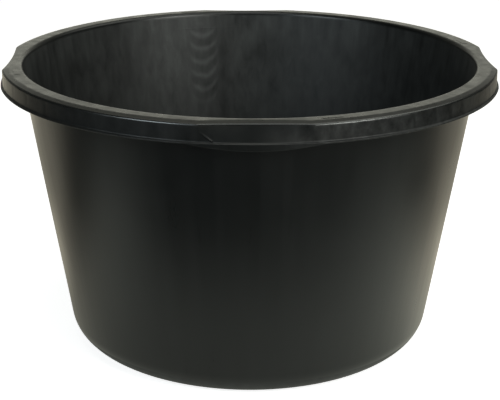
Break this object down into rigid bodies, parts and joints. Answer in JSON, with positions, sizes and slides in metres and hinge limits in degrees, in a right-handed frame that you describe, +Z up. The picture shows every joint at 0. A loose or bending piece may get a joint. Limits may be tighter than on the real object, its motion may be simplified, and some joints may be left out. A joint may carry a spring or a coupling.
{
  "type": "mortar mixing tub",
  "caption": "Round black plastic mortar tub with steep tapered wall, rounded bottom corner and a wide folded rim with scooped hand grips.",
  "frame": {"origin": "centre of the base, on the plane that the foot ring stands on", "axes": "+Z up through the open mouth, -Y towards the front grip, +X towards the right grip"},
  "size_m": [0.6644, 0.6644, 0.3885],
  "materials": {
    "black_polyethylene": "satin moulded polyethylene, near black, with faint flow marks"
  },
  "bodies": {
    "root": {"floor_panel": "black_polyethylene", "heel_ring": "black_polyethylene", "side_wall": "black_polyethylene", "rim_flange": "black_polyethylene", "grip_front": "black_polyethylene", "grip_right": "black_polyethylene", "grip_rear": "black_polyethylene", "grip_left": "black_polyethylene", "rim_skirt_front_right": "black_polyethylene", "rim_skirt_rear_right": "black_polyethylene", "rim_skirt_rear_left": "black_polyethylene", "rim_skirt_front_left": "black_polyethylene", "rim_rib_01": "black_polyethylene", "rim_rib_02": "black_polyethylene", "rim_rib_03": "black_polyethylene", "rim_rib_04": "black_polyethylene", "rim_rib_05": "black_polyethylene", "rim_rib_06": "black_polyethylene", "rim_rib_07": "black_polyethylene", "rim_rib_08": "black_polyethylene", "rim_rib_09": "black_polyethylene", "rim_rib_10": "black_polyethylene", "rim_rib_11": "black_polyethylene", "rim_rib_12": "black_polyethylene", "rim_rib_13": "black_polyethylene", "rim_rib_14": "black_polyethylene", "rim_rib_15": "black_polyethylene", "rim_rib_16": "black_polyethylene", "rim_rib_17": "black_polyethylene", "rim_rib_18": "black_polyethylene", "rim_rib_19": "black_polyethylene", "rim_rib_20": "black_polyethylene", "rim_rib_21": "black_polyethylene", "rim_rib_22": "black_polyethylene", "rim_rib_23": "black_polyethylene", "rim_rib_24": "black_polyethylene", "rim_rib_25": "black_polyethylene", "rim_rib_26": "black_polyethylene", "rim_rib_27": "black_polyethylene", "rim_rib_28": "black_polyethylene", "rim_rib_29": "black_polyethylene", "rim_rib_30": "black_polyethylene", "rim_rib_31": "black_polyethylene", "rim_rib_32": "black_polyethylene"}
  },
  "joints": []
}
